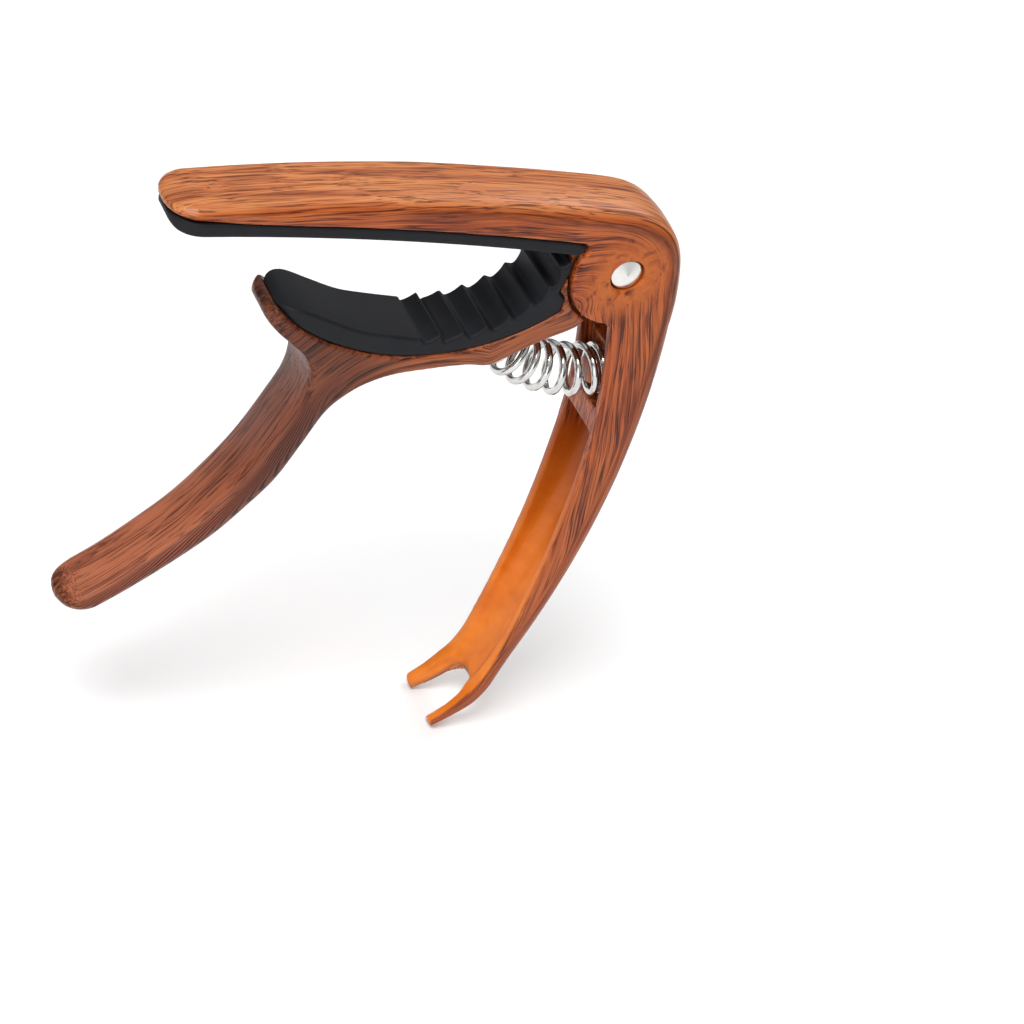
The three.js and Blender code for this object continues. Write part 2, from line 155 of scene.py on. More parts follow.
def smooth(points, steps):
    """Catmull-Rom curve through the points."""
    p = np.array(points, float)
    p = np.vstack([p[:1], p, p[-1:]])
    t = np.linspace(0, len(points) - 1, steps + 1)
    i = np.minimum(t.astype(int), len(points) - 2)
    f = (t - i)[:, None]
    a, b, c, d = p[i], p[i + 1], p[i + 2], p[i + 3]
    v0, v1 = (c - a) / 2, (d - b) / 2
    return (2 * b - 2 * c + v0 + v1) * f**3 + (3 * c - 3 * b - 2 * v0 - v1) * f**2 + v0 * f + b


def on_back(z, inset=0.0):
    """Points of the handle's back at heights z, or inset from it."""
    x, c, r = BACK
    r -= inset
    return np.stack([x + np.sqrt(r * r - (z - c) ** 2), z], 1)


def polar(radius, degrees):
    """A point round the pivot, at degrees from straight down."""
    a = np.radians(degrees)
    return np.stack([radius * np.sin(a), -radius * np.cos(a)], -1)


def chain(*runs):
    """One outline from several runs of points, without repeated points."""
    p = np.vstack([np.atleast_2d(r) for r in runs])
    keep = [0]
    for i in range(1, len(p)):
        if np.hypot(*(p[i] - p[keep[-1]])) > 0.01:
            keep.append(i)
    return p[keep]


FORK_IN = np.array([-4.75, -82.0])
FORK_OUT = np.array([-4.4, -83.45])
FORK_BOTTOM = np.array([-0.2, -79.6])
FORK_WAY = np.array([-0.79, -0.613])


def frame_back():
    """The outer line: fork, back of the handle, corner, and top of the bar to the tip."""
    under = smooth([FORK_OUT, (-1.3, -81.3), (1.5, -78.9), (3.3, -76.1), (4.3, -73.4)], 40)
    back = on_back(np.linspace(-72.5, -8, 60))
    corner = smooth([(10.3, -8), (9.8, -3.6), (9.05, 0.3), (7.9, 3.6), (6.1, 6.4), (3.5, 8.5), (0.2, 9.8),
                     (-4, 10.3), (-9, 10.5)], 70)
    top = bow((-9, 10.5), (-64.6, 7.3), -1.3, 60)
    return chain(under, back, corner, top, smooth([(-66.4, 6.85), (-67.5, 6.4), (-67.95, 5.85)], 8))


def frame_front():
    nose = smooth([(-67.95, 5.85), (-67.85, 5.45), (-67.3, 5.2), (-66.4, 5.05), (-64.8, 5.0)], 20)
    underside = bow((-64.8, 5.0), (-8.4, 4.95), 0.84, 50)
    recess = bow((-8.4, 4.95), (-8.3, 2.6), 0.9, 14)
    cheek = arc(-0.2, 0, CHEEK_RADIUS, 161, 268, 40)
    rim = smooth([(0.5, -9.2), (2.2, -15.8), (3.6, -23), (4.5, -31), (4.8, -42), (4.4, -53),
                  (3.2, -65), (2.0, -71.5), (0.8, -75.3), (-0.7, -77.6), (-2.5, -79.8)], 110)
    return chain(nose, underside, recess, cheek, rim, FORK_IN)


def upper_cavity():
    """Clearance round the jaw's knuckle, and the pocket that the spring's end sits in."""
    wall = on_back(np.linspace(-12.2, -2, 20), WEB)
    roof = arc(0, 0, 7.1, 0, 158, 36)
    pocket = polar(SPRING_ARC + 4.2, np.linspace(-8, FRAME_SEAT, 12))
    return chain(wall, roof, (-14, 2.65), (-14, -24.9), pocket, polar(SPRING_ARC - 4.6, FRAME_SEAT))


def lower_channel():
    wall = on_back(np.linspace(-76.0, -30.0, 60), WEB)
    return chain((-14, -79.2), (-0.6, -77.8), wall, (4.6, -27.7), (-14, -28.2))


def jaw_belly():
    """The lower right line: under the saddle, then down the inner side of the lever."""
    under = smooth([(-4.0, -7.75), (-5.2, -9.2), (-9.1, -11.3), (-12.1, -13.2), (-14.9, -15.1)], 30)
    belly = smooth([(-15.7, -15.6), (-16.8, -15.9), (-20, -15.9), (-25, -16.7), (-30.3, -17.9),
                    (-33.8, -19.7), (-36.0, -22.5), (-37.6, -25.8), (-39.3, -30.8), (-41.55, -36.75),
                    (-44.75, -41.9), (-48.45, -46.95), (-53.5, -52.1), (-58.5, -56.6), (-62.6, -59.9)], 110)
    return chain(under, belly)


def jaw_back():
    """The upper left line, from the lever's end to the saddle's lip."""
    return smooth([(-65.2, -57.3), (-61.7, -54.4), (-57.3, -50), (-53.2, -45.4), (-49.7, -40.2),
                   (-46.5, -34.3), (-44.1, -28), (-42.4, -22.5), (-42.3, -18.4), (-43.6, -15.5),
                   (-46.5, -13.2), (-48.8, -11.6), (-50.1, -10.5), (-50.6, -9.6), (-50.45, -9.0)], 110)


def jaw_outline():
    seat = arc(*SADDLE, -126.3, -48.3, 60)
    step = [(-8.1, -4.3), (-9.2, -3.3), (-8.8, -0.9)]
    concentric = arc(-0.2, 0, CHEEK_RADIUS + 0.45, 187, 243, 20)
    end = smooth([(-62.6, -59.9), (-64.6, -60.9), (-66.5, -61.1), (-67.6, -60.2), (-67.5, -59.0),
                  (-65.6, -57.6)], 24)
    return chain(seat, step, concentric, jaw_belly(), end, jaw_back(), (-50.0, -8.6))


def knuckle_outline():
    disc = arc(0, 0, KNUCKLE_RADIUS, -60, 155, 50)
    return chain(disc, [(-7.2, 2.3), (-8.5, 2.1), (-8.8, -0.9), (-9.2, -3.3), (-8.1, -4.3), (-8.1, -6.45),
                        (-9.6, -7.8), (-13.5, -10.8), (-10.4, -11.2), (-5.3, -9.2), (-3.4, -7.4)])


def string_pad_outline():
    face = bow((-64.9, 2.95), (-8.75, 2.85), 0.95, 50)
    end = bow((-8.7, 2.85), (-8.8, 4.8), -0.85, 14)
    back = bow((-9.3, 4.9), (-64.8, 4.95), -0.84, 50)
    inner = [(-65.6, 4.95), (-66.5, 4.98)]
    outer = smooth([(-67.45, 4.75), (-67.4, 4.3), (-67.0, 3.6), (-66.2, 3.1), (-64.9, 2.95)], 20)
    return chain(face, end, back, inner, outer)


def jaw_pad_outline():
    x, z, r = SADDLE
    bed = arc(x, z, r - 0.06, -126.1, -48.45, 60)
    flank = [(-8.2, -4.35), (-9.35, -3.35), (-8.95, -0.9), (-8.75, 0.4), (-8.9, 1.35), (-9.15, 1.6)]
    t = np.linspace(0, 1, RIB_COUNT * 24 + 1)
    angle = np.radians(RIBS_START - RIBS_SWEEP * t)
    phase = (RIB_COUNT * t * RIBS_SWEEP / RIBS_PERIODS_SWEEP) % 1.0
    # each rib is a scallop that climbs to a narrow crest and drops behind it
    climb = 1 - np.clip((phase - RIB_DROP) / (1 - RIB_DROP), 0, 1)
    height = np.where(phase < RIB_DROP, 0.5 - 0.5 * np.cos(np.pi * phase / RIB_DROP), climb**1.6)
    wave = RIB_HEIGHT * (0.5 - height)
    first = ease(t, 0.86, 0.9) * 0.6 * (1 - height)
    radius = RIBS[2] + wave + first - RIB_TAPER * np.maximum(0, 1 - t / 0.3) ** 1.5
    ribs = np.stack([RIBS[0] + radius * np.cos(angle), RIBS[1] + radius * np.sin(angle)], 1)
    rest = smooth([(-27.5, -11.75), (-32.9, -11.3), (-37.0, -10.75), (-41.3, -9.4), (-45.0, -8.15),
                   (-47.2, -7.8), (-48.4, -7.9), (-49.1, -8.2)], 50)
    return chain(bed, flank, ribs, rest)


# ---- signed distances on a grid, and the surface through their zero ---------------------
def distance(outline, x, z, closed=True):
    """Distance to an outline, negative inside a closed one."""
    p = outline
    q = np.roll(p, -1, 0) if closed else p[1:]
    if not closed:
        p = p[:-1]
    best = np.full(x.shape, 1e9)
    inside = np.zeros(x.shape, bool)
    for (ax, az), (bx, bz) in zip(p, q):
        ex, ez = bx - ax, bz - az
        wx, wz = x - ax, z - az
        t = np.clip((wx * ex + wz * ez) / (ex * ex + ez * ez), 0, 1)
        best = np.minimum(best, (wx - t * ex) ** 2 + (wz - t * ez) ** 2)
        if closed and az != bz:
            crossing = (az > z) != (bz > z)
            inside ^= crossing & (x < ax + (z - az) * ex / ez)
    best = np.sqrt(best)
    return np.where(inside, -best, best) if closed else best


def along(line, x, z):
    """Arc length along an open line of the point on it that is nearest, and the distance to it."""
    p, q = line[:-1], line[1:]
    lengths = np.hypot(*(q - p).T)
    starts = np.concatenate([[0], np.cumsum(lengths)[:-1]])
    best = np.full(x.shape, 1e9)
    where = np.zeros(x.shape)
    for (ax, az), (bx, bz), n, s0 in zip(p, q, lengths, starts):
        ex, ez = bx - ax, bz - az
        wx, wz = x - ax, z - az
        t = np.clip((wx * ex + wz * ez) / (n * n), 0, 1)
        d = (wx - t * ex) ** 2 + (wz - t * ez) ** 2
        closer = d < best
        best = np.where(closer, d, best)
        where = np.where(closer, s0 + t * n, where)
    return where, np.sqrt(best)


def frame_grain(line, x, z):
    """Along and across the film's grain, which turns the corner about a point under it."""
    cx, cz = GRAIN_CENTRE
    px, pz = line[:, 0], line[:, 1]
    top = px < cx
    order = np.argsort(px[top])
    over = np.interp(x, px[top][order], pz[top][order]) - z
    low = pz < cz
    order = np.argsort(pz[low])
    beside = np.interp(z, pz[low][order], px[low][order]) - x
    bend = (px >= cx - 2) & (pz >= cz - 2)
    angles = np.arctan2(px[bend] - cx, pz[bend] - cz)
    order = np.argsort(angles)
    angle = np.arctan2(x - cx, z - cz)
    rim = np.interp(angle, angles[order], np.hypot(px[bend] - cx, pz[bend] - cz)[order])
    depth = rim - np.hypot(x - cx, z - cz)
    on_bar, on_handle = x < cx, z < cz
    s = np.where(on_bar, x - cx,
                 np.where(on_handle, GRAIN_TURN * math.pi / 2 + cz - z, GRAIN_TURN * angle))
    q = np.where(on_bar, over, np.where(on_handle, beside, depth))
    return s, q


def rounded(a, b, r):
    """Where both a and b are inside, with the edge between them rounded to r."""
    a, b = a + r, b + r
    return np.minimum(np.maximum(a, b), 0) + np.hypot(np.maximum(a, 0), np.maximum(b, 0)) - r


def soft_union(a, b, k):
    """Where a or b is inside, blended over k."""
    h = np.clip(0.5 + 0.5 * (b - a) / k, 0, 1)
    return b + (a - b) * h - k * h * (1 - h)


def soft_cut(a, b, k):
    """Where a is inside and b is not, with a fillet over k."""
    return -soft_union(-a, b, k)


class Grid:
    """Points a cell apart over a box, with 2D coordinates X, Z and 3D ones x, y, z that broadcast."""

    def __init__(self, low, high, cell):
        self.low = np.array(low, float) - 1.5 * cell
        self.cell = cell
        self.n = (np.ceil((np.array(high, float) - self.low) / cell) + 2).astype(int)
        axes = [self.low[k] + cell * np.arange(self.n[k]) for k in range(3)]
        self.X, self.Z = np.meshgrid(axes[0], axes[2], indexing="ij")
        self.x = axes[0][:, None, None]
        self.y = axes[1][None, :, None]
        self.z = axes[2][None, None, :]

    def flat(self, f):
        return f[:, None, :]

    def sample(self, field, p):
        g = (p - self.low) / self.cell
        i = np.clip(g.astype(int), 0, self.n - 2)
        f = g - i
        out = np.zeros(len(p))
        for dx in (0, 1):
            for dy in (0, 1):
                for dz in (0, 1):
                    w = ((f[:, 0] if dx else 1 - f[:, 0]) * (f[:, 1] if dy else 1 - f[:, 1])
                         * (f[:, 2] if dz else 1 - f[:, 2]))
                    out += w * field[i[:, 0] + dx, i[:, 1] + dy, i[:, 2] + dz]
        return out


def surface(grid, field):
    """Quads through the zero of the field: one point in each cell that the surface crosses."""
    inside = field < 0
    n = np.array(field.shape) - 1
    count = np.zeros(n, np.int8)
    for dx in (0, 1):
        for dy in (0, 1):
            for dz in (0, 1):
                count += inside[dx:dx + n[0], dy:dy + n[1], dz:dz + n[2]]
    cells = np.argwhere((count > 0) & (count < 8))
    number = np.full(n, -1, np.int64)
    number[tuple(cells.T)] = np.arange(len(cells))
    total = np.zeros((len(cells), 3))
    hits = np.zeros(len(cells))
    for axis in range(3):
        step = np.eye(3, dtype=int)[axis]
        u, v = [np.eye(3, dtype=int)[k] for k in range(3) if k != axis]
        for corner in (0 * u, u, v, u + v):
            a = cells + corner
            b = a + step
            fa, fb = field[tuple(a.T)], field[tuple(b.T)]
            cross = (fa < 0) != (fb < 0)
            t = np.where(cross, fa / np.where(cross, fa - fb, 1), 0)
            total += np.where(cross[:, None], corner + t[:, None] * step, 0)
            hits += cross
    p = grid.low + grid.cell * (cells + total / hits[:, None])
    faces = []
    for axis in range(3):
        step = np.eye(3, dtype=int)[axis]
        u, v = [np.eye(3, dtype=int)[k] for k in range(3) if k != axis]
        a = inside[:-1, :, :] if axis == 0 else inside[:, :-1, :] if axis == 1 else inside[:, :, :-1]
        b = inside[1:, :, :] if axis == 0 else inside[:, 1:, :] if axis == 1 else inside[:, :, 1:]
        edges = np.argwhere(a != b)
        edges = edges[(edges[:, [k for k in range(3) if k != axis]] > 0).all(1)]
        starts = a[tuple(edges.T)]
        quad = np.stack([number[tuple((edges - u - v).T)], number[tuple((edges - v).T)],
                         number[tuple(edges.T)], number[tuple((edges - u).T)]], 1)
        if axis == 1:
            starts = ~starts
        quad[~starts] = quad[~starts][:, ::-1]
        faces.append(quad)
    for _ in range(3):
        d = grid.sample(field, p)
        e = grid.cell * 0.5
        g = np.stack([grid.sample(field, p + e * np.eye(3)[k]) - grid.sample(field, p - e * np.eye(3)[k])
                      for k in range(3)], 1) / (2 * e)
        p = p - 0.8 * d[:, None] * g / np.maximum((g * g).sum(1), 0.2)[:, None]
    return p, np.vstack(faces)


def to_object(name, points, faces, material, attributes=None):
    """Points are millimetres from the pivot, and the mesh is metres in the part's frame."""
    mesh = bpy.data.meshes.new(name)
    faces = np.asarray(faces)
    world = points * MM + PIVOT
    if name != "floor":
        world = np.clip(world, CAD_BOX[0], CAD_BOX[1])
    mesh.vertices.add(len(world))
    mesh.vertices.foreach_set("co", world.astype(np.float32).ravel())
    sides = faces.shape[1]
    mesh.loops.add(faces.size)
    mesh.loops.foreach_set("vertex_index", faces.astype(np.int32).ravel())
    mesh.polygons.add(len(faces))
    mesh.polygons.foreach_set("loop_start", np.arange(0, faces.size, sides, dtype=np.int32))
    mesh.update(calc_edges=True)
    mesh.validate()
    mesh.polygons.foreach_set("use_smooth", np.ones(len(mesh.polygons), bool))
    for key, values in (attributes or {}).items():
        values = np.asarray(values, np.float32)
        kind = "FLOAT" if values.ndim == 1 else "FLOAT_VECTOR"
        layer = mesh.attributes.new(key, kind, "POINT")
        layer.data.foreach_set("value" if values.ndim == 1 else "vector", values.ravel())
    obj = bpy.data.objects.new(name, mesh)
    bpy.context.scene.collection.objects.link(obj)
    mesh.materials.append(material)
    return obj


# ---- materials --------------------------------------------------------------------------
class Nodes:
    """A small helper for building a node tree."""

    def __init__(self, name):
        self.material = bpy.data.materials.new(name)
        self.material.use_nodes = True
        self.tree = self.material.node_tree
        self.shader = self.tree.nodes["Principled BSDF"]

    def make(self, kind, inputs=None, **settings):
        node = self.tree.nodes.new(kind)
        for key, value in settings.items():
            setattr(node, key, value)
        for key, value in (inputs or {}).items():
            self.feed(node.inputs[key], value)
        return node

    def feed(self, socket, value):
        if isinstance(value, bpy.types.NodeSocket):
            self.tree.links.new(value, socket)
        else:
            socket.default_value = value

    def math(self, operation, a, b=0.0):
        return self.make("ShaderNodeMath", {0: a, 1: b}, operation=operation).outputs[0]

    def attribute(self, name):
        return self.make("ShaderNodeAttribute", attribute_name=name)

    def noise(self, vector, scale, detail=2.0, roughness=0.5, distortion=0.0):
        node = self.make("ShaderNodeTexNoise", {"Vector": vector, "Scale": scale, "Detail": detail,
                                                "Roughness": roughness, "Distortion": distortion})
        return node.outputs[0]

    def scaled(self, vector, scale, offset=(0, 0, 0)):
        node = self.make("ShaderNodeMapping", {"Vector": vector, "Scale": scale, "Location": offset})
        return node.outputs[0]

    def ramp(self, factor, stops):
        node = self.make("ShaderNodeValToRGB", {"Fac": factor})
        ramp = node.color_ramp
        while len(ramp.elements) < len(stops):
            ramp.elements.new(0.5)
        for element, (position, colour) in zip(ramp.elements, stops):
            element.position = position
            element.color = (*colour, 1.0)
        return node.outputs[0]

    def mix(self, factor, a, b, blend="MIX"):
        node = self.make("ShaderNodeMix", data_type="RGBA", blend_type=blend)
        self.feed(node.inputs[0], factor)
        self.feed(node.inputs[6], a if isinstance(a, bpy.types.NodeSocket) else (*a, 1.0))
        self.feed(node.inputs[7], b if isinstance(b, bpy.types.NodeSocket) else (*b, 1.0))
        return node.outputs[2]

    def bump(self, height, strength, depth):
        node = self.make("ShaderNodeBump", {"Height": height, "Strength": strength, "Distance": depth})
        self.feed(self.shader.inputs["Normal"], node.outputs[0])


def srgb(r, g, b):
    return tuple(((v / 255) / 12.92 if v <= 10 else (((v / 255) + 0.055) / 1.055) ** 2.4) for v in (r, g, b))


def grain_film(name, side_tones, top_tones_with_sheen, figure):
    """Printed wood-grain film. Attribute "grain" is (along, across, round) in millimetres.

    The tones are the thin line, the brown, the middle and the light colour, on the flat sides
    and, where attribute "crown" is 1, on the top, where they are lighter partly from the print
    and partly as a painted sheen. The figure adds what only one casting shows.
    """
    m = Nodes(name)
    grain = m.attribute("grain").outputs["Vector"]
    crown = m.attribute("crown").outputs["Fac"]
    split = m.make("ShaderNodeSeparateXYZ", {0: grain})
    wander = m.noise(m.scaled(grain, (0.045, 0.16, 0.16)), 1.0, 1.0)
    across = m.math("ADD", split.outputs[1], m.math("MULTIPLY", m.math("SUBTRACT", wander, 0.5), 3.4))
    bent = m.make("ShaderNodeCombineXYZ", {0: split.outputs[0], 1: across, 2: split.outputs[2]}).outputs[0]
    broad = m.noise(m.scaled(bent, (0.035, 0.36, 0.36)), 1.0, 2.0, 0.5)
    streak = m.noise(m.scaled(bent, (0.022, 1.25, 1.25), (7, 3, 1)), 1.0, 2.0, 0.6)
    fibre = m.noise(m.scaled(bent, (0.07, 3.6, 3.6), (2, 9, 4)), 1.0, 2.0, 0.6)
    dash = m.noise(m.scaled(bent, (0.11, 1.9, 1.9), (5, 1, 8)), 1.0, 3.0, 0.55)
    tone = m.math("ADD", m.math("MULTIPLY", broad, 0.4),
                  m.math("ADD", m.math("MULTIPLY", streak, 0.3), m.math("MULTIPLY", fibre, 0.3)))
    steps = (0.38, 0.47, 0.55, 0.64)

    def base(tones):
        return m.ramp(tone, list(zip(steps, (tones[1], tones[2], tones[3], tones[2]))))

    # where crown is 1 the top tones are used: lighter partly from the print, partly a painted sheen of light
    # on the top
    colour = m.mix(crown, base(side_tones), base(top_tones_with_sheen))
    line_tone = m.mix(crown, side_tones[0], top_tones_with_sheen[0])
    # thin dark lines where the streak noise crosses a level, broken up along their length
    first = m.ramp(streak, [(0.455, (0, 0, 0)), (0.48, (1, 1, 1)), (0.49, (1, 1, 1)), (0.515, (0, 0, 0))])
    second = m.ramp(fibre, [(0.40, (0.8, 0.8, 0.8)), (0.45, (0, 0, 0))])
    broken = m.ramp(dash, [(0.36, (0.2, 0.2, 0.2)), (0.52, (1, 1, 1))])
    lines = m.math("MULTIPLY", m.math("MAXIMUM", first, second), broken)
    colour = m.mix(m.math("MULTIPLY", lines, 0.9), colour, line_tone)
    # darker, wider dashes on the sides
    dashes = m.ramp(dash, [(0.55, (0, 0, 0)), (0.63, (1, 1, 1))])
    where = m.ramp(broad, [(0.45, (1, 1, 1)), (0.6, (0.15, 0.15, 0.15))])
    amount = m.math("MULTIPLY", m.math("MULTIPLY", dashes, where),
                    m.make("ShaderNodeMapRange", {0: crown, 3: 0.85, 4: 0.25}).outputs[0])
    colour = m.mix(amount, colour, line_tone)
    colour = figure(m, colour, bent)
    gloss = m.noise(m.scaled(grain, (0.4, 0.9, 0.9), (1, 5, 9)), 1.0, 2.0)
    worn = m.math("ADD", m.math("MULTIPLY", gloss, 0.14), m.math("MULTIPLY", lines, 0.06))
    m.feed(m.shader.inputs["Roughness"], m.math("ADD", worn, 0.27))
    m.shader.inputs["Specular IOR Level"].default_value = 0.22
    m.shader.inputs["Coat Weight"].default_value = 0.06
    m.shader.inputs["Coat Roughness"].default_value = 0.12
    m.bump(m.math("SUBTRACT", fibre, m.math("MULTIPLY", lines, 0.5)), 0.14, 0.00006)
    return m, colour


def frame_film():
    side = [srgb(54, 18, 9), srgb(106, 40, 18), srgb(154, 70, 30), srgb(182, 94, 44)]
    # the top tones are lighter than the side tones, partly from the print and partly a painted sheen of light
    # on the bar's top
    top = [srgb(80, 32, 16), srgb(138, 70, 38), srgb(176, 101, 58), srgb(196, 124, 74)]

    def cheek_figure(m, colour, bent):
        place = m.make("ShaderNodeTexCoord").outputs["Object"]
        # painted shade: a dark band under the rounded edge of the bar, round the corner
        painted_edge_shade = m.attribute("painted_edge_shade").outputs["Fac"]
        rough = m.noise(m.scaled(bent, (0.16, 1.6, 1.6), (6, 2, 3)), 1.0, 3.0, 0.6)
        edge_shade_mix = m.math("MULTIPLY", painted_edge_shade, m.ramp(rough, [(0.36, (0.35, 0.35, 0.35)), (0.55, (1, 1, 1))]))
        colour = m.mix(m.math("MULTIPLY", edge_shade_mix, 0.8), colour, srgb(74, 26, 14))
        # a mottled patch round the pin instead of straight grain
        from_pin = m.make("ShaderNodeVectorMath", {0: place, 1: tuple(PIVOT)}, operation="DISTANCE")
        calm = m.make("ShaderNodeMapRange", {0: from_pin.outputs["Value"], 1: 0.0098, 2: 0.0062},
                      interpolation_type="SMOOTHSTEP")
        cloud = m.noise(place, 240.0, 3.0, 0.6, 1.2)
        flecks = m.noise(m.scaled(place, (1, 1, 0.6), (3, 1, 2)), 430.0, 2.0, 0.6, 1.6)
        soft = m.ramp(cloud, [(0.34, srgb(140, 60, 22)), (0.5, srgb(186, 96, 36)), (0.68, srgb(168, 78, 30))])
        soft = m.mix(m.ramp(flecks, [(0.58, (0, 0, 0)), (0.68, (0.85, 0.85, 0.85))]), soft, srgb(78, 28, 14))
        return m.mix(calm.outputs[0], colour, soft)

    m, film = grain_film("frame_film", side, top, cheek_figure)
    inner = m.attribute("inside").outputs["Fac"]
    place = m.make("ShaderNodeTexCoord").outputs["Object"]
    cloud = m.noise(place, 190.0, 3.0, 0.6)
    paint = m.ramp(cloud, [(0.3, srgb(204, 102, 20)), (0.7, srgb(226, 126, 36))])
    # painted shade: the paint inside the channel is darker towards its upper end
    level = m.make("ShaderNodeSeparateXYZ", {0: place}).outputs[2]
    painted_channel_shade = m.make("ShaderNodeMapRange", {0: level, 1: -0.037, 2: -0.062, 3: 0.8, 4: 0.0})
    paint = m.mix(painted_channel_shade.outputs[0], paint, srgb(134, 52, 10))
    m.feed(m.shader.inputs["Base Color"], m.mix(inner, film, paint))
    return m.material


def jaw_film():
    side = [srgb(34, 14, 10), srgb(78, 36, 23), srgb(126, 64, 38), srgb(158, 86, 50)]
    # the top tones are lighter than the side tones, partly from the print and partly a painted sheen of light
    # on the lever's top
    top = [srgb(76, 36, 25), srgb(122, 65, 46), srgb(150, 84, 58), srgb(168, 98, 68)]

    def chevrons(m, colour, bent):
        """Nested arcs along the lever's sides, their points towards the lever's end."""
        split = m.make("ShaderNodeSeparateXYZ", {0: bent})
        off = m.math("SUBTRACT", split.outputs[1], 2.2)
        wobble = m.noise(m.scaled(bent, (0.2, 0.6, 0.6), (4, 4, 2)), 1.0, 2.0)
        run = m.math("ADD", split.outputs[0], m.math("MULTIPLY", m.math("MULTIPLY", off, off), 1.9))
        run = m.math("ADD", run, m.math("MULTIPLY", wobble, 3.5))
        wave = m.math("SINE", m.math("MULTIPLY", run, 2 * math.pi / 2.9))
        arcs = m.ramp(m.math("ADD", m.math("MULTIPLY", wave, 0.5), 0.5),
                      [(0.3, (0, 0, 0)), (0.62, (0.4, 0.4, 0.4)), (0.85, (1, 1, 1))])
        side = m.attribute("flank").outputs["Fac"]
        dark = m.mix(arcs, srgb(132, 68, 46), srgb(40, 17, 12))
        colour = m.mix(m.math("MULTIPLY", side, 0.9), colour, dark)
        # painted shade: the film is darker where the lever, the lip and the saddle meet
        junction_shade = m.attribute("junction_shade").outputs["Fac"]
        return m.mix(m.math("MULTIPLY", junction_shade, 0.8), colour, (0.42, 0.38, 0.4), "MULTIPLY")

    m, film = grain_film("jaw_film", side, top, chevrons)
    m.feed(m.shader.inputs["Base Color"], film)
    return m.material


def rubber(name):
    m = Nodes(name)
    place = m.make("ShaderNodeTexCoord").outputs["Object"]
    dust = m.noise(place, 260.0, 4.0, 0.6)
    skin = m.noise(place, 5200.0, 2.0, 0.5)
    m.feed(m.shader.inputs["Base Color"], m.ramp(dust, [(0.3, srgb(18, 19, 23)), (0.75, srgb(27, 28, 33))]))
    m.feed(m.shader.inputs["Roughness"], m.make("ShaderNodeMapRange", {0: dust, 3: 0.5, 4: 0.64}).outputs[0])
    m.shader.inputs["Specular IOR Level"].default_value = 0.2
    m.bump(skin, 0.25, 0.00004)
    return m.material


def nickel(name, tint, rough):
    m = Nodes(name)
    place = m.make("ShaderNodeTexCoord").outputs["Object"]
    draw = m.noise(place, 900.0, 3.0, 0.6)
    m.feed(m.shader.inputs["Base Color"], m.ramp(draw, [(0.3, tuple(0.86 * v for v in tint)), (0.7, tint)]))
    spread = m.make("ShaderNodeMapRange", {0: draw, 3: rough, 4: rough + 0.1})
    m.feed(m.shader.inputs["Roughness"], spread.outputs[0])
    m.shader.inputs["Metallic"].default_value = 1.0
    m.bump(draw, 0.15, 0.00002)
    return m.material


FRAME_FILM = frame_film()
JAW_FILM = jaw_film()
RUBBER = rubber("pad_rubber")
SPRING_METAL = nickel("spring_nickel", (0.66, 0.66, 0.65), 0.08)
PIN_METAL = nickel("pin_steel", (0.78, 0.77, 0.74), 0.14)


# ---- what both castings have ----------------------------------------------------------------
def corner_cut(reach, radius):
    """How far the half width pulls in, reach millimetres into a corner rounded to radius."""
    reach = np.clip(reach, 0, radius)
    return radius - np.sqrt(radius**2 - reach**2)


def spring_stud(g, seat_angle, to_spring):
    """Round stud inside the spring's end. to_spring is 1 or -1, the way to the spring's middle."""
    seat = polar(SPRING_ARC, seat_angle)
    way = polar(1.0, seat_angle + 90)
    run = (g.x - seat[0]) * way[0] + (g.z - seat[1]) * way[1]
    off = np.hypot((g.x - seat[0]) * way[1] - (g.z - seat[1]) * way[0], g.y)
    return rounded(off - STUD_RADIUS, np.abs(run - to_spring * STUD_SHIFT) - STUD_HALF, STUD_EDGE)


def pin_bore(g):
    return np.hypot(g.x, g.z) - HOLE_RADIUS + 0 * g.y


# ---- frame casting ------------------------------------------------------------------------


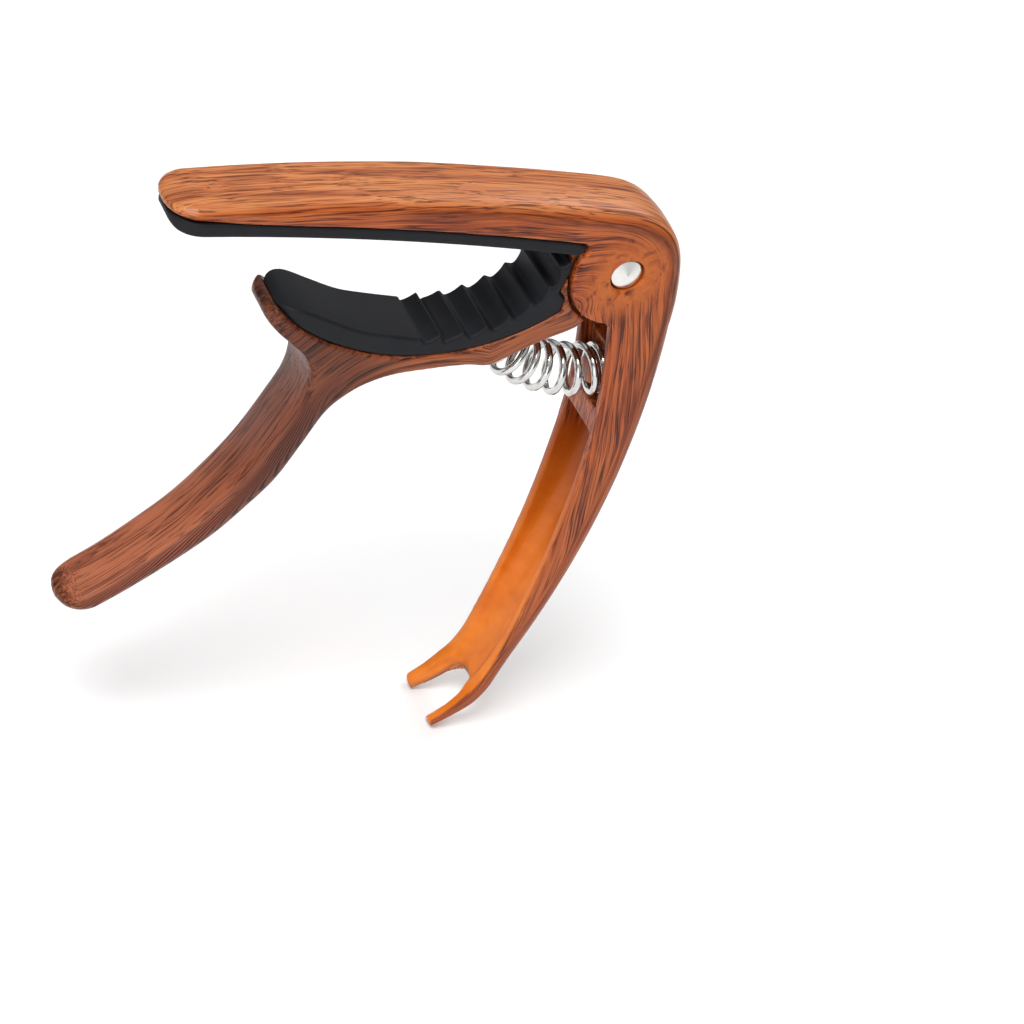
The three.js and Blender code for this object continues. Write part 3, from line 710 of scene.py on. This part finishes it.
def build_frame():
    g = Grid((-70, -5.9, -85), (11.8, 5.9, 11.2), CELL)
    line = frame_back()
    body2 = distance(chain(line, frame_front()), g.X, g.Z)
    outer2 = distance(line, g.X, g.Z, closed=False)
    near_back = 1 - ease(outer2, 1.6, 3.2)
    half = FRAME_WIDTH / 2
    y = np.abs(g.y)
    # u runs from the slot's bottom to the prongs' tips, and v across it
    u = (g.x - FORK_BOTTOM[0]) * FORK_WAY[0] + (g.z - FORK_BOTTOM[1]) * FORK_WAY[1]
    v = (g.z - FORK_BOTTOM[1]) * -FORK_WAY[0] + (g.x - FORK_BOTTOM[0]) * FORK_WAY[1]
    # the bar's tip and the two prongs are rounded in plan
    narrow = corner_cut(NOSE_CORNER[0] - g.x, NOSE_CORNER[1])
    narrow = narrow + corner_cut(u - PRONG_CORNER[0], PRONG_CORNER[1]) * (g.z < -75)
    on_top = ease(g.Z + 0.35 * g.X, -2, 4)
    crown = g.flat(near_back * (0.25 + 0.3 * on_top)) * (y / half) ** 2
    edge = g.flat(0.4 + 1.3 * near_back * ease(g.Z, -79, -68))
    body = rounded(g.flat(body2) + crown, y - half + narrow, edge)
    upper = rounded(g.flat(distance(upper_cavity(), g.X, g.Z)), y - CAVITY_WIDTH / 2, CAST_EDGE)
    channel2 = distance(lower_channel(), g.X, g.Z)
    channel = rounded(g.flat(channel2), y - CAVITY_WIDTH / 2, g.flat(0.4 + 2.0 * ease(-g.Z, 28, 33)))
    body = soft_cut(body, np.minimum(upper, channel), 0.35)
    body = soft_union(body, spring_stud(g, FRAME_SEAT, -1), CAST_EDGE)
    body = soft_cut(body, pin_bore(g), 0.12)
    # fork: the slot is wider at the upper face than at the lower
    slot_half = SLOT_HALF + SLOT_TAPER * np.clip(v, -0.6, 0.6) + SLOT_FLARE * np.maximum(u, 0)
    slot = np.where(u > 0, y, np.hypot(np.minimum(u, 0), y)) - slot_half
    body = soft_cut(body, np.maximum(slot, g.z - SLOT_CEILING), 0.6)
    p, faces = surface(g, body)
    s, q = frame_grain(line, p[:, 0], p[:, 2])
    across = np.abs(p[:, 1])
    inside = ease(q, 0.9, 1.3) * (1 - ease(across, half - 0.45, half - 0.2)) * ease(-p[:, 2], 30, 34)
    # the grain runs slightly across the handle's sides, and straight along its back
    lean = 0.2 * np.maximum(s - 24, 0) * ease(q, 0.6, 3.0)
    grain = np.stack([s, q + lean, p[:, 1]], 1)
    # crown marks the bar's top, which takes the lighter top tones: partly print, partly painted sheen
    crown = (1 - ease(q, 0.5, 1.7)) * (1 - ease(across, half - 0.9, half - 0.1))
    on_side = ease(across, half - 0.9, half - 0.2)
    run = ease(s, -34, -6) * (1 - ease(s, 40, 56))
    # painted shade along the sides, under the rounded edge of the bar
    painted_edge_shade = on_side * run * np.exp(-(((q - 2.0 - 0.35 * np.sin(s / 6)) / 0.6) ** 2))
    kinds = {"grain": grain, "inside": inside, "crown": crown, "painted_edge_shade": painted_edge_shade}
    obj = to_object("frame_shell", p, faces, FRAME_FILM, kinds)
    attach(obj, "frame_body")
    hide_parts("frame_casting")


# ---- jaw casting --------------------------------------------------------------------------
def build_jaw():
    g = Grid((-68.5, -5.6, -62.5), (8, 5.6, 8), CELL)
    body2 = distance(jaw_outline(), g.X, g.Z)
    y = np.abs(g.y)
    # 0 in the saddle, 1 in the lever
    lever = ease(-g.Z - 0.5 * g.X, 34.5, 45)
    half = g.flat(JAW_WIDTH / 2 - lever * (JAW_WIDTH - LEVER_WIDTH) / 2)
    # the lever's end and the saddle's open end are rounded in plan
    from_tip = (g.x - LEVER_TIP[0]) * LEVER_WAY[0] + (g.z - LEVER_TIP[1]) * LEVER_WAY[1]
    cap = corner_cut(LEVER_CORNER[0] - from_tip, LEVER_CORNER[1])
    cap = cap + corner_cut(LIP_CORNER[0] - g.x, LIP_CORNER[1]) * (g.z > -20)
    edge = g.flat(0.5 + 1.25 * lever)
    crown = g.flat(0.55 * lever) * (y / (JAW_WIDTH / 2)) ** 2
    body = rounded(g.flat(body2) + crown, y - half + cap, edge)
    knuckle = rounded(g.flat(distance(knuckle_outline(), g.X, g.Z)), y - KNUCKLE_WIDTH / 2, CAST_EDGE)
    body = soft_union(body, knuckle, CAST_EDGE)
    # room for the spring, which ends in its seat
    inner = SPRING_ARC - COIL_RADIUS - WIRE_RADIUS - 0.5
    pocket2 = chain(polar(inner, np.linspace(JAW_SEAT, JAW_SEAT + POCKET_SWEEP, 20)),
                    polar(SPRING_ARC + 8, np.linspace(JAW_SEAT + POCKET_SWEEP, JAW_SEAT, 20)))
    pocket = rounded(g.flat(distance(pocket2, g.X, g.Z)), y - POCKET_HALF, CAST_EDGE)
    body = soft_cut(body, pocket, CAST_EDGE)
    body = soft_union(body, spring_stud(g, JAW_SEAT, 1), CAST_EDGE)
    body = soft_cut(body, pin_bore(g), 0.12)
    p, faces = surface(g, body)
    s, q = along(jaw_belly(), p[:, 0], p[:, 2])
    # on the lever the grain keeps its share of the lever's thickness
    lever = ease(-p[:, 2] - 0.5 * p[:, 0], 36, 48)
    thick = q + along(jaw_back(), p[:, 0], p[:, 2])[1]
    q = q + lever * (6.5 * q / np.maximum(thick, 0.5) - q)
    flank = lever * ease(np.abs(p[:, 1]), LEVER_WIDTH / 2 - 1.3, LEVER_WIDTH / 2 - 0.5)
    grain = np.stack([s, q, p[:, 1]], 1)
    # crown marks the lever's top, which takes the lighter top tones: partly print, partly painted sheen
    crown = lever * ease(q, 4.2, 5.6)
    # painted shade where the lever, the lip and the saddle meet
    junction_shade = ease(p[:, 2], -50, -30) * (1 - ease(p[:, 0], -38, -26))
    kinds = {"grain": grain, "flank": flank * (1 - ease(q, 4.4, 5.8)), "crown": crown, "junction_shade": junction_shade}
    obj = to_object("jaw_shell", p, faces, JAW_FILM, kinds)
    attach(obj, "jaw_body")
    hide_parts("jaw_casting")


# ---- rubber pads ----------------------------------------------------------------------------
def build_pad(name, outline, width, radius, body, node, end, corner):
    """Pad with this outline, whose end at x = end is rounded in plan to corner."""
    low = (outline[:, 0].min(), -width / 2, outline[:, 1].min())
    high = (outline[:, 0].max(), width / 2, outline[:, 1].max())
    g = Grid(low, high, PAD_CELL)
    narrow = corner_cut(end + corner - g.x, corner)
    field = rounded(g.flat(distance(outline, g.X, g.Z)), np.abs(g.y) - width / 2 + narrow, radius)
    p, faces = surface(g, field)
    obj = to_object(name, p, faces, RUBBER)
    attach(obj, body)
    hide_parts(node)


# ---- spring and pin -------------------------------------------------------------------------
def ring_faces(rows, sides):
    """Quads between rows of points in rings, and a fan to each of the two end points after them."""
    k = np.arange(sides)
    walls = [np.stack([base + k, base + (k + 1) % sides, base + sides + (k + 1) % sides,
                       base + sides + k], 1) for base in range(0, (rows - 1) * sides, sides)]
    last, end = (rows - 1) * sides, rows * sides
    fans = []
    for j in range(0, sides, 2):
        fans.append((end, (j + 2) % sides, j + 1, j))
        fans.append((end + 1, last + j, last + j + 1, last + (j + 2) % sides))
    return np.vstack([*walls, fans])


def build_spring():
    sides = 16
    steps = COILS * 44
    t = np.linspace(0, 1, steps + 1)
    margin = math.degrees((WIRE_RADIUS + 0.25) / SPRING_ARC)
    first, last = JAW_SEAT + margin, FRAME_SEAT - margin
    # the first and last turns lie nearly flat, as on a spring with closed ends
    flat = 0.75 / COILS
    eased = np.clip((t - flat) / (1 - 2 * flat), 0, 1)
    turn = 2 * math.pi * COILS * t
    hub_angle = first + (last - first) * (0.04 * t + 0.96 * eased)
    centre = polar(SPRING_ARC + COIL_RADIUS * np.cos(turn), hub_angle)
    path = np.stack([centre[:, 0], COIL_RADIUS * np.sin(turn), centre[:, 1]], 1)
    tangent = np.gradient(path, axis=0)
    tangent /= np.linalg.norm(tangent, axis=1)[:, None]
    hub = polar(np.full(len(t), SPRING_ARC), hub_angle)
    out = path - np.stack([hub[:, 0], np.zeros(len(t)), hub[:, 1]], 1)
    out -= (out * tangent).sum(1)[:, None] * tangent
    out /= np.linalg.norm(out, axis=1)[:, None]
    side = np.cross(tangent, out)
    a = 2 * math.pi * np.arange(sides) / sides
    ring = (out[:, None, :] * np.cos(a)[None, :, None] + side[:, None, :] * np.sin(a)[None, :, None])
    points = (path[:, None, :] + WIRE_RADIUS * ring).reshape(-1, 3)
    ends = [path[0] - 0.05 * tangent[0], path[-1] + 0.05 * tangent[-1]]
    points = np.vstack([points, ends])
    obj = to_object("spring_coil", points, ring_faces(steps + 1, sides), SPRING_METAL)
    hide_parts("return_spring")
    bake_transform(obj)


def build_pin():
    """Turned pin: a shallow cone on each end, and a small chamfer round it."""
    half = FRAME_WIDTH / 2 - PIN_RECESS
    rim = half - PIN_CONE
    rings = [(0.0, half), (0.12, half - 0.012)]
    for r in np.linspace(0.3, PIN_RADIUS - 0.16, 16):
        rings.append((r, half - (half - rim) * r / (PIN_RADIUS - 0.15)))
    rings += [(PIN_RADIUS - 0.1, rim - 0.02), (PIN_RADIUS - 0.03, rim - 0.08), (PIN_RADIUS, rim - 0.16)]
    rings = rings + [(PIN_RADIUS, 0.0)] + [(r, -h) for r, h in reversed(rings)]
    sides = 96
    a = 2 * math.pi * np.arange(sides) / sides
    points = [np.stack([r * np.cos(a), np.full(sides, h), r * np.sin(a)], 1) for r, h in rings[1:-1]]
    points = np.vstack([*points, [[0, half, 0], [0, -half, 0]]])
    obj = to_object("pin_turned", points, ring_faces(len(rings) - 2, sides), PIN_METAL)
    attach(obj, "frame_body")
    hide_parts("pivot_pin")


build_frame()
build_jaw()
build_pad("string_strip", string_pad_outline(), PAD_WIDTH, 0.35, "frame_body",
          "string_pad", -67.5, 4.8)
build_pad("jaw_cushion", jaw_pad_outline(), JAW_PAD_WIDTH, 0.4, "jaw_body",
          "jaw_pad", -49.6, 4.3)
build_spring()
build_pin()


# ---- floor, light and camera, in metres -------------------------------------------------------
FLOOR_HALF = 3.0
FLOOR_GAP = 0.0005
CAMERA_ANGLES = (-34.155, 33.85, 20.745)            # azimuth, elevation and roll in degrees
CAMERA_FROM_PIVOT = (-0.21292, -0.31314, 0.20799)
CAMERA_LENS = 109.74
# world grey by the height of the direction: a soft box overhead, darker towards the horizon
SKY = ((0.02, 0.12), (0.3, 0.35), (0.5, 0.95), (1.0, 1.0))
SKY_STRENGTH = 0.62


def build_floor():
    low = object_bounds()[0]
    size, depth = FLOOR_HALF, low[2] - FLOOR_GAP
    n = 24
    edge = np.linspace(-size, size, n + 1)
    gx, gy = np.meshgrid(edge, edge, indexing="ij")
    points = np.stack([gx.ravel(), gy.ravel(), np.full(gx.size, depth)], 1)
    i, j = np.meshgrid(np.arange(n), np.arange(n), indexing="ij")
    a = (i * (n + 1) + j).ravel()
    faces = np.stack([a, a + n + 1, a + n + 2, a + 1], 1)
    m = Nodes("floor")
    m.shader.inputs["Base Color"].default_value = (0.93, 0.93, 0.93, 1)
    m.shader.inputs["Roughness"].default_value = 0.9
    m.shader.inputs["Specular IOR Level"].default_value = 0.1
    floor = to_object("floor", (points - PIVOT) / MM, faces, m.material)


def light(name, place, target, size, power):
    data = bpy.data.lights.new(name, "AREA")
    data.shape = "DISK"
    data.size = size
    data.energy = power
    obj = bpy.data.objects.new(name, data)
    obj.location = place
    way = Vector(target) - Vector(place)
    obj.rotation_euler = way.to_track_quat("-Z", "Y").to_euler()
    bpy.context.scene.collection.objects.link(obj)


def build_camera():
    azimuth, elevation, roll = (math.radians(v) for v in CAMERA_ANGLES)
    back = Vector((math.sin(azimuth) * math.cos(elevation), -math.cos(azimuth) * math.cos(elevation),
                   math.sin(elevation)))
    right = Vector((math.cos(azimuth), math.sin(azimuth), 0))
    up = back.cross(right)
    right, up = (right * math.cos(roll) + up * math.sin(roll), up * math.cos(roll) - right * math.sin(roll))
    data = bpy.data.cameras.new("camera")
    data.sensor_width = 36
    data.lens = CAMERA_LENS
    data.clip_start, data.clip_end = 0.01, 20
    obj = bpy.data.objects.new("camera", data)
    place = Vector(PIVOT) + Vector(CAMERA_FROM_PIVOT)
    obj.matrix_world = Matrix(((right.x, up.x, back.x, place.x), (right.y, up.y, back.y, place.y),
                               (right.z, up.z, back.z, place.z), (0, 0, 0, 1)))
    bpy.context.scene.collection.objects.link(obj)
    bpy.context.scene.camera = obj


build_floor()
build_camera()
centre = Vector(((CAD_BOX[0][0] + CAD_BOX[1][0]) / 2, 0, (CAD_BOX[0][2] + CAD_BOX[1][2]) / 2))
light("key", centre + Vector((-0.35, -0.25, 0.75)), centre, 0.5, 5.5)
light("fill", centre + Vector((-0.5, -0.7, 0.1)), centre, 0.7, 2.2)
light("rim", centre + Vector((0.5, 0.3, 0.6)), centre, 0.5, 2.2)

scene = bpy.context.scene
scene.view_settings.view_transform = "Standard"
world = bpy.data.worlds.new("studio") if scene.world is None else scene.world
scene.world = world
world.use_nodes = True
background = world.node_tree.nodes["Background"]
world_tree = world.node_tree
direction = world_tree.nodes.new("ShaderNodeTexCoord")
height = world_tree.nodes.new("ShaderNodeSeparateXYZ")
world_tree.links.new(direction.outputs["Generated"], height.inputs[0])
sky = world_tree.nodes.new("ShaderNodeValToRGB")
world_tree.links.new(height.outputs[2], sky.inputs["Fac"])
for position, grey in SKY:
    element = sky.color_ramp.elements.new(position)
    element.color = (grey, grey, grey, 1)
world_tree.links.new(sky.outputs[0], background.inputs["Color"])
background.inputs["Strength"].default_value = SKY_STRENGTH
